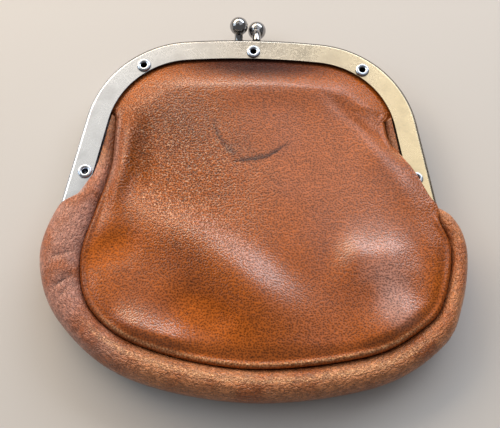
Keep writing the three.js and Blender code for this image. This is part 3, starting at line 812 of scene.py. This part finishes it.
def panel_rim(front, leather, metal):
    """The rim of a panel: down one side of the gusset, along the bottom, up and through the bow's slot"""
    rows = gusset_rows()
    seam = rows["seam"] + rows["out"] * (rows["lap"] - SEAM_GAP / 2)[:, None]
    if front:
        height = gusset_height(rows, SEAM_ANGLE) + rows["lift"]
    else:
        height = np.maximum(gusset_height(rows, -SEAM_ANGLE) - rows["lift"], 0)
    up = 1 if front else -1
    lapped = step_up(rows["lap"], LAP_START, LAP_FULL)[:, None]
    edges = [bow_edge(metal, turn) for turn in np.linspace(*SLOT_ENDS, SLOT_STEPS)]
    slot = np.array([edge - out * metal.face for edge, out in edges])
    slot_top = BOW_TOP - metal.sheet - (metal.depth - 2 * metal.sheet - leather.thickness) / 2
    slot_height = slot_top if front else 2 * MIDDLE - slot_top
    tuck = np.array([(*out, 0) for edge, out in edges]) * SLOT_HEM
    room = up * (height - (BOW_TOP if front else BOW_LOW)) - ARM_GAP
    over_arm = (seam[:, 0] > 0) & (seam[:, 1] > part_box("front_bow")[0].y - ARM_GAP)
    hem = np.where(over_arm, np.clip(room, LEAST_HEM, rows["hem"]), rows["hem"])
    hems = []
    for share in np.linspace(0, 1, HEM_STEPS + 1)[1:]:
        turn = CURL_TURN * share
        fall = np.column_stack([np.zeros_like(seam), -up * hem * share])
        sink = np.full(len(seam), up * CURL_RADIUS * (math.cos(turn) - 1))
        curl = np.column_stack([rows["out"] * CURL_RADIUS * math.sin(turn), sink])
        hems.append(np.concatenate([fall + (curl - fall) * lapped, tuck * share]))
    return {
        "place": np.concatenate([seam, slot]),
        "height": np.concatenate([height, np.full(SLOT_STEPS, slot_height)]),
        "run": np.concatenate([rows["run"], np.full(SLOT_STEPS, SLOT_RUN)]),
        "rounding": np.concatenate([np.full(SEAM_STEPS, SEAM_ROUNDING), np.full(SLOT_STEPS, SLOT_ROUNDING)]),
        "sewn": np.concatenate([1 - lapped[:, 0], np.zeros(SLOT_STEPS)]),
        "hems": hems,
    }


def near_rim(rim, places):
    """Distance of places from a panel's rim, with the rim's columns blended by nearness"""
    start = rim["place"]
    side = np.roll(start, -1, axis=0) - start
    reach = places[:, None, :] - start[None]
    share = np.clip((reach * side).sum(-1) / (side * side).sum(-1), 0, 1)
    inside = np.linalg.norm(reach - share[..., None] * side, axis=-1).min(1)
    weight = 1 / ((reach * reach).sum(-1) + RIM_BLUR**2) ** 2
    weight /= weight.sum(1, keepdims=True)
    return inside, *(weight @ rim[name] for name in ("height", "run", "rounding", "sewn"))


def line_height(places, line, left, right):
    """1 along a line, fading over a width on its left and right and towards its ends"""
    spine = smooth_curve(line, LINE_STEPS)
    way = np.diff(spine, axis=0)
    reach = places[:, None, :] - spine[None, :-1]
    share = np.clip((reach * way).sum(-1) / (way * way).sum(-1), 0, 1)
    apart = reach - share[..., None] * way
    distance = np.linalg.norm(apart, axis=-1)
    nearest = distance.argmin(1)
    rows = np.arange(len(places))
    along = (nearest + share[rows, nearest]) / (LINE_STEPS - 1)
    side = way[nearest, 0] * apart[rows, nearest, 1] - way[nearest, 1] * apart[rows, nearest, 0]
    width = np.where(side > 0, left, right)
    taper = step_up(along, 0, FOLD_TAPER) * step_up(1 - along, 0, FOLD_TAPER)
    return taper * np.exp(-((distance[rows, nearest] / width) ** 2))


def fold_height(places):
    """Height that the folds and shallow dents of the front panel add at places"""
    total = np.zeros(len(places))
    for height, left, right, line in FOLDS.values():
        total += height * MM * line_height(places, np.array(line) * MM, left * MM, right * MM)
    total += DENT_HEIGHT * np.array([noise.noise(Vector((x, y, 0)) / DENT_SIZE) for x, y in places])
    return total


def panel_piece(front, leather, metal):
    """A panel that rises from its rim on a rounded edge to its belly"""
    rim = panel_rim(front, leather, metal)
    count = len(rim["place"])
    shares = 1 - (1 - np.linspace(0, 1, RINGS + 1)[1:]) ** RING_CROWDING
    rings = PANEL_MIDDLE + shares[:, None, None] * (rim["place"] - PANEL_MIDDLE)
    flat = np.concatenate([PANEL_MIDDLE[None], rings.reshape(-1, 2)])
    parts = [near_rim(rim, block) for block in np.array_split(flat, RINGS)]
    inside, rim_height, run, rounding, sewn = (np.concatenate(column) for column in zip(*parts))
    belly = leather.belly + leather.slope * flat[:, 1] + fold_height(flat) if front else 0
    rise = 1 - (1 - np.clip(inside / run, 0, 1)) ** rounding
    height = rim_height + (belly - rim_height) * rise
    if front:
        height += BEAD_HEIGHT * sewn * np.exp(-(((inside - BEAD_INSET) / BEAD_WIDTH) ** 2))
    points = np.column_stack([flat, height])
    points = np.concatenate([points, *(points[-count:] + hem for hem in rim["hems"])])
    faces = []
    for j in range(count):
        after = (j + 1) % count
        faces.append((0, 1 + j, 1 + after))
        for inner in range(1, 1 + (RINGS - 1 + HEM_STEPS) * count, count):
            outer = inner + count
            faces.append((inner + j, outer + j, outer + after, inner + after))
    if not front:
        faces = [face[::-1] for face in faces]
    piece = mesh_piece("panel", points, faces)
    away = np.zeros((len(points), 2))
    away[: len(flat), 0] = inside
    layer = piece.data.uv_layers.new(name="from the rim")
    layer.uv.foreach_set("vector", away[[corner for face in faces for corner in face]].ravel())
    apply_modifier(piece, "SOLIDIFY", thickness=leather.thickness, offset=-1)
    for i in range(1, EYELETS - 1):
        low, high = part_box(f"{'front' if front else 'back'}_eyelet_{i + 1}")
        x, y = ((low + high) / 2).xy
        cut_away(piece, rod((x, y, low.z), (x, y, high.z), metal.barrel + GAP))
    piece.data.shade_smooth()
    return piece


def arm_block(metal, side, drops, insets, heights):
    """A block on an arm of the frame, given by its ranges along the arm, in from its edge and in height"""
    edge, out = bow_edge(metal, side * (math.pi / 2 - metal.lean), sum(drops) / 2)
    middle = edge - out * sum(insets) / 2
    deselect()
    bpy.ops.mesh.primitive_cube_add(
        size=1,
        location=(*middle, sum(heights) / 2),
        rotation=(0, 0, math.atan2(out.y, out.x)),
        scale=(insets[1] - insets[0], drops[1] - drops[0], heights[1] - heights[0]),
    )
    bpy.ops.object.transform_apply(location=True, rotation=True, scale=True)
    return bpy.context.active_object


def crease_depth(grid):
    """Depth of the gusset's short creases at the points of its grid"""
    depth = np.zeros(grid.shape[:2])
    places = grid[..., :2].reshape(-1, 2)
    for deep, wide, *ends in CREASES.values():
        line = np.linspace(*np.array(ends) * MM, 3)
        depth += deep * MM * line_height(places, line, wide * MM, wide * MM).reshape(depth.shape)
    return depth * step_up(grid[..., 2], *CREASE_HEIGHTS)


def gusset_grid():
    """Points of the gusset: rows along the band, each from hem over the crest and under the floor to hem"""
    rows = gusset_rows()
    limit = math.cos(SEAM_ANGLE)
    section = []
    for angle in np.linspace(SEAM_ANGLE, -SEAM_ANGLE, SECTION_STEPS + 1):
        share = (math.cos(angle) - limit) / (1 - limit)
        flat = rows["seam"] + rows["out"] * (SEAM_GAP / 2 + (rows["width"] - SEAM_GAP / 2) * share)[:, None]
        section.append(np.column_stack([flat, gusset_height(rows, angle)]))
    fall = np.column_stack([np.zeros_like(rows["seam"]), rows["hem"]])
    shares = np.linspace(0, 1, HEM_STEPS + 1)[1:]
    upper = [section[0] - fall * share for share in shares[::-1]]
    lower = [section[-1] + fall * share for share in shares]
    return np.stack([*upper, *section, *lower], axis=1)


def gusset_piece(leather, metal):
    """The puffed band between the panels, opened where the arms of the frame go in"""
    grid = gusset_grid()
    along, across = np.gradient(grid, axis=0), np.gradient(grid, axis=1)
    normal = np.cross(across, along)
    normal /= np.linalg.norm(normal, axis=-1, keepdims=True)
    length = np.cumsum(np.linalg.norm(along, axis=-1).mean(1))
    girth = np.cumsum(np.linalg.norm(across, axis=-1), axis=1)
    band = np.stack([np.broadcast_to(length[:, None], girth.shape), girth], axis=-1).reshape(-1, 2)
    points = (grid - normal * crease_depth(grid)[..., None]).reshape(-1, 3)
    size = grid.shape[1]
    corners = [i * size + j for i in range(SEAM_STEPS - 1) for j in range(size - 1)]
    faces = [(corner, corner + 1, corner + size + 1, corner + size) for corner in corners]
    piece = mesh_piece("gusset_band", points, faces)
    layer = piece.data.uv_layers.new(name="band")
    layer.uv.foreach_set("vector", band[np.array(faces).ravel()].ravel())
    apply_modifier(piece, "SOLIDIFY", thickness=leather.thickness, offset=-1)
    drops = (-TIP_ROOM, metal.arm + ARM_GAP)
    insets = (-ARM_GAP, metal.face + ARM_GAP)
    for side in (-1, 1):
        cut_away(piece, arm_block(metal, side, drops, insets, (BOW_LOW - ARM_GAP, BOW_TOP + ARM_GAP)))
    piece.data.shade_smooth()
    return piece


def start_point(place):
    """A new object of a single vertex, in edit mode with the vertex selected"""
    deselect()
    bpy.ops.mesh.primitive_plane_add(size=MM, location=place)
    bpy.ops.object.transform_apply(location=True)
    bpy.ops.object.mode_set(mode="EDIT")
    bpy.ops.mesh.select_mode(type="VERT")
    bpy.ops.mesh.select_all(action="SELECT")
    bpy.ops.mesh.merge(type="CENTER")
    return bpy.context.active_object


def draw(step):
    """Draws a line from the selected vertex"""
    bpy.ops.mesh.extrude_vertices_move(TRANSFORM_OT_translate={"value": step})


def sweep(step):
    """Sweeps the selected edges or faces along a straight line"""
    bpy.ops.mesh.extrude_region_move(TRANSFORM_OT_translate={"value": step})


def spin(turn, steps, center, axis):
    """Sweeps what is selected round an axis"""
    bpy.ops.mesh.spin(steps=steps, angle=turn, center=center, axis=axis)


def rod(start, end, radius):
    """A round rod from one point to another"""
    start, end = Vector(start), Vector(end)
    deselect()
    bpy.ops.mesh.primitive_cylinder_add(
        vertices=ROUND_STEPS,
        radius=radius,
        depth=(end - start).length,
        location=(start + end) / 2,
        rotation=(end - start).to_track_quat("Z", "Y").to_euler(),
    )
    bpy.ops.object.transform_apply(location=True, rotation=True)
    return bpy.context.active_object


def middle_of(node):
    """Middle of the box of a CAD node"""
    low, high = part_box(node)
    return (low + high) / 2


def bow_channel(metal):
    """The front bow's bent sheet: its section is drawn at the crown, swept round to one foot and mirrored"""
    bend = metal.bend
    low = BOW_TOP - metal.depth
    crown_turn = math.asin(metal.crown_half / metal.crown)
    piece = start_point((0, CROWN_TOP - metal.face, BOW_TOP))
    draw((0, metal.face - bend, 0))
    spin(math.pi / 2, BEND_STEPS, (0, CROWN_TOP - bend, BOW_TOP - bend), (1, 0, 0))
    draw((0, 0, 2 * bend - metal.depth))
    spin(math.pi / 2, BEND_STEPS, (0, CROWN_TOP - bend, low + bend), (1, 0, 0))
    draw((0, bend - metal.liner, 0))
    bpy.ops.mesh.select_all(action="SELECT")
    crown = Vector((0, CROWN_TOP - metal.crown, 0))
    joint = Vector((math.sin(crown_turn), math.cos(crown_turn), 0))
    spin(crown_turn, CROWN_STEPS, crown, (0, 0, 1))
    shoulder = crown + joint * (metal.crown - metal.shoulder)
    spin(math.pi / 2 - metal.lean - crown_turn, SHOULDER_STEPS, shoulder, (0, 0, 1))
    sweep((math.sin(metal.lean) * metal.arm, -math.cos(metal.lean) * metal.arm, 0))
    apply_modifier(piece, "MIRROR", merge_threshold=MERGE)
    clean(piece)
    edit_all(piece)
    bpy.ops.transform.translate(value=(FRAME_X, 0, 0))
    apply_modifier(piece, "SOLIDIFY", thickness=metal.sheet, offset=-1, use_even_offset=True)
    apply_modifier(piece, "BEVEL", width=EDGE_WEAR, segments=2, limit_method="ANGLE", angle_limit=SHARP)
    return piece


def bow_piece(front, metal):
    """A bow with its hinge ears and the holes for eyelets, pins and ball"""
    piece = bow_channel(metal)
    low = BOW_TOP - metal.depth
    side_name = "front" if front else "back"
    inset = metal.ear_inset if front else metal.ear_inset + metal.sheet + GAP
    foot = (metal.arm - metal.ear - CUT_PAST, metal.arm + CUT_PAST)
    for side in (-1, 1):
        room = (metal.sheet, metal.face + CUT_PAST)
        cut_away(piece, arm_block(metal, side, foot, room, (low - CUT_PAST, low + 2 * metal.sheet)))
        ear = (inset, inset + metal.sheet)
        heights = (MIDDLE - metal.ear_reach, low + metal.sheet * EAR_SINK)
        fuse(piece, arm_block(metal, side, (foot[0] - CUT_PAST, metal.arm), ear, heights))
        edge, out = bow_edge(metal, side * (math.pi / 2 - metal.lean), metal.arm - metal.ear / 2)
        ends = [(*(edge - out * way), MIDDLE) for way in (metal.face, metal.bend)]
        cut_away(piece, rod(*ends, metal.pin + GAP))
    for i in range(EYELETS):
        x, y = middle_of(f"{side_name}_eyelet_{i + 1}").xy
        cut_away(piece, rod((x, y, low - CUT_PAST), (x, y, BOW_TOP + CUT_PAST), metal.barrel + GAP))
    x = middle_of(f"{side_name}_ball").x
    height = BOW_TOP - metal.depth / 2
    peg = [(x, CROWN_TOP + way, height) for way in (-metal.peg_length, CUT_PAST)]
    cut_away(piece, rod(*peg, metal.peg + GAP))
    if not front:
        edit_all(piece)
        bpy.ops.transform.resize(value=(1, 1, -1), center_override=(0, 0, MIDDLE))
        bpy.ops.mesh.flip_normals()
    smooth_sharp(piece)
    apply_modifier(piece, "WEIGHTED_NORMAL", keep_sharp=True)
    return piece


def ball_piece(front, metal):
    """A clasp ball on a bent post, with a peg that goes into the frame"""
    up = 1 if front else -1
    x = middle_of("front_ball" if front else "back_ball").x
    root = MIDDLE + up * (BOW_TOP - metal.depth / 2 - MIDDLE)
    foot = Vector((x, CROWN_TOP + GAP, root))
    ball = Vector((x, CROWN_TOP + metal.ball_rise, MIDDLE - up * metal.ball_lean))
    knee = Vector((x, (foot.y + ball.y) / 2, root))
    deselect()
    bpy.ops.mesh.primitive_circle_add(
        vertices=ROUND_STEPS,
        radius=metal.post,
        fill_type="NGON",
        location=foot,
        rotation=(math.pi / 2, 0, 0),
    )
    bpy.ops.object.transform_apply(location=True, rotation=True)
    piece = bpy.context.active_object
    edit_all(piece)
    here, lean = foot, 0
    for share in np.linspace(0, 1, POST_STEPS + 1)[1:]:
        ahead = foot * (1 - share) ** 2 + knee * 2 * share * (1 - share) + ball * share**2
        way = (knee - foot) * (1 - share) + (ball - knee) * share
        sweep(ahead - here)
        turn = math.atan2(way.z, way.y)
        bpy.ops.transform.rotate(value=lean - turn, orient_axis="X", center_override=ahead)
        here, lean = ahead, turn
    clean(piece)
    deselect()
    bpy.ops.mesh.primitive_uv_sphere_add(
        segments=BALL_SEGMENTS,
        ring_count=BALL_RINGS,
        radius=metal.ball,
        location=ball,
    )
    bpy.ops.object.transform_apply(location=True)
    fuse(piece, bpy.context.active_object)
    fuse(piece, rod(foot - Vector((0, metal.peg_length, 0)), foot + Vector((0, metal.post, 0)), metal.peg))
    smooth_sharp(piece)
    return piece


def eyelet_piece():
    """A hollow rivet with a rolled rim, on the axis of height, with its seat at the origin"""
    section = [Vector((away, 0, up)) * MM for away, up in EYELET_SECTION]
    piece = start_point(section[0])
    for start, end in zip(section, section[1:]):
        draw(end - start)
    bpy.ops.mesh.select_all(action="SELECT")
    spin(2 * math.pi, ROUND_STEPS, (0, 0, 0), (0, 0, 1))
    clean(piece)
    smooth_sharp(piece)
    return piece


def add_light(name, power, place, size, color):
    """Adds a soft rectangular light that shines on the purse"""
    aim = (-Vector(place)).to_track_quat("-Z", "Y").to_euler()
    bpy.ops.object.light_add(type="AREA", location=place, rotation=aim)
    light = bpy.context.active_object
    light.name = name
    light.data.shape = "RECTANGLE"
    light.data.size, light.data.size_y = size
    light.data.energy = power
    light.data.color = color


class PURSE_OT_front_panel(bpy.types.Operator):
    """Models the front panel with its folds"""

    bl_idname = "purse.front_panel"
    bl_label = "Front Panel"

    def execute(self, context):
        leather = context.scene.purse_leather
        piece = panel_piece(True, leather, context.scene.purse_metal)
        finish = panel_finish("front_leather", leather, True)
        settle(piece, "leather_front", finish, "panel_leather", "front_panel")
        return {"FINISHED"}


class PURSE_OT_back_panel(bpy.types.Operator):
    """Models the back panel, which lies flat"""

    bl_idname = "purse.back_panel"
    bl_label = "Back Panel"

    def execute(self, context):
        leather = context.scene.purse_leather
        piece = panel_piece(False, leather, context.scene.purse_metal)
        finish = panel_finish("back_leather", leather, False)
        settle(piece, "leather_back", finish, "panel_leather", "back_panel")
        return {"FINISHED"}


class PURSE_OT_gusset(bpy.types.Operator):
    """Models the puffed gusset"""

    bl_idname = "purse.gusset"
    bl_label = "Gusset"

    def execute(self, context):
        leather = context.scene.purse_leather
        piece = gusset_piece(leather, context.scene.purse_metal)
        settle(piece, "leather_gusset", gusset_finish("gusset_leather", leather), "gusset_leather", "gusset")
        return {"FINISHED"}


class PURSE_OT_bows(bpy.types.Operator):
    """Models the two bows of the clasp frame and finishes their hinge pins"""

    bl_idname = "purse.bows"
    bl_label = "Bows"

    def execute(self, context):
        metal = context.scene.purse_metal
        finish = nickel_finish("frame_nickel", metal.nickel_and_cool_reflection, metal.warm_reflection, metal.roughness, 1, FRAME_EDGE_SHADE)
        for side in ("front", "back"):
            piece = bow_piece(side == "front", metal)
            settle(piece, f"frame_{side}", finish, "frame_nickel", f"{side}_bow")
        for side in ("left", "right"):
            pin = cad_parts[f"hinge_pin_{side}"]
            pin.data.materials.clear()
            pin.data.materials.append(finish)
        return {"FINISHED"}


class PURSE_OT_balls(bpy.types.Operator):
    """Models the two balls of the clasp"""

    bl_idname = "purse.balls"
    bl_label = "Clasp Balls"

    def execute(self, context):
        metal = context.scene.purse_metal
        finish = nickel_finish("polished_nickel", metal.polish, metal.polish, BALL_ROUGHNESS, BALL_WEAR)
        for side in ("front", "back"):
            piece = ball_piece(side == "front", metal)
            settle(piece, f"ball_{side}", finish, "polished_nickel", f"{side}_ball")
        return {"FINISHED"}


class PURSE_OT_eyelets(bpy.types.Operator):
    """Models one eyelet and sets copies of it along both bows"""

    bl_idname = "purse.eyelets"
    bl_label = "Eyelets"

    def execute(self, context):
        metal = context.scene.purse_metal
        look = (EYELET_ROUGHNESS, EYELET_WEAR, EYELET_EDGE_SHADE)
        finish = nickel_finish("eyelet_nickel", metal.nickel_and_cool_reflection, metal.nickel_and_cool_reflection, *look)
        pattern = eyelet_piece()
        for side, seat, up in (("front", BOW_TOP, 1), ("back", BOW_LOW, -1)):
            for i in range(EYELETS):
                node = f"{side}_eyelet_{i + 1}"
                x, y = middle_of(node).xy
                mesh = pattern.data.copy()
                mesh.transform(Matrix.Translation((x, y, seat)) @ Matrix.Diagonal((1, up, up, 1)))
                piece = bpy.data.objects.new(node, mesh)
                context.scene.collection.objects.link(piece)
                settle(piece, f"eyelet_{side}_{i + 1}", finish, "eyelet_nickel", node)
        bpy.data.objects.remove(pattern)
        return {"FINISHED"}


class PURSE_OT_stage(bpy.types.Operator):
    """Sets up the floor, the lights and the camera"""

    bl_idname = "purse.stage"
    bl_label = "Stage"

    def execute(self, context):
        scene = context.scene
        stage = scene.purse_stage
        deselect()
        bpy.ops.mesh.primitive_plane_add(size=FLOOR_SIZE, location=(0, 0, cad_box[0].z))
        floor = context.active_object
        floor.name = "floor"
        finish = Finish("floor")
        plain = finish.surface({"Base Color": opaque(stage.floor), "Roughness": FLOOR_ROUGHNESS})
        floor.data.materials.append(finish.done(plain))
        for name, (power, share, *rest) in LIGHTS.items():
            add_light(name, getattr(stage, power) * share, *rest)
        scene.world = bpy.data.worlds.new("room")
        scene.world.use_nodes = True
        room = scene.world.node_tree.nodes["Background"]
        room.inputs["Color"].default_value = opaque(ROOM_COLOR)
        room.inputs["Strength"].default_value = stage.ambient
        scene.view_settings.view_transform = "Standard"
        aim = (CAMERA_TARGET - CAMERA_PLACE).to_track_quat("-Z", "Y").to_euler()
        bpy.ops.object.camera_add(location=CAMERA_PLACE, rotation=aim)
        scene.camera = context.active_object
        scene.camera.data.lens = stage.focal
        scene.camera.data.clip_start = CLIP_START
        return {"FINISHED"}


OPERATORS = (
    PURSE_OT_stage,
    PURSE_OT_front_panel,
    PURSE_OT_back_panel,
    PURSE_OT_gusset,
    PURSE_OT_bows,
    PURSE_OT_balls,
    PURSE_OT_eyelets,
)


class PURSE_PT_panel(bpy.types.Panel):
    """Lists the steps that make the purse"""

    bl_idname = "PURSE_PT_panel"
    bl_label = "Coin Purse"
    bl_space_type = "VIEW_3D"
    bl_region_type = "UI"
    bl_category = "Purse"

    def draw(self, context):
        for step in OPERATORS:
            self.layout.operator(step.bl_idname)


CLASSES = (PurseLeather, PurseMetal, PurseStage, *OPERATORS, PURSE_PT_panel)


def register():
    for entry in CLASSES:
        bpy.utils.register_class(entry)
    bpy.types.Scene.purse_leather = PointerProperty(type=PurseLeather)
    bpy.types.Scene.purse_metal = PointerProperty(type=PurseMetal)
    bpy.types.Scene.purse_stage = PointerProperty(type=PurseStage)


def unregister():
    del bpy.types.Scene.purse_stage
    del bpy.types.Scene.purse_metal
    del bpy.types.Scene.purse_leather
    for entry in reversed(CLASSES):
        bpy.utils.unregister_class(entry)


def main():
    register()
    bpy.ops.purse.stage()
    bpy.ops.purse.front_panel()
    bpy.ops.purse.back_panel()
    bpy.ops.purse.gusset()
    bpy.ops.purse.bows()
    bpy.ops.purse.balls()
    bpy.ops.purse.eyelets()


if __name__ == "__main__":
    main()
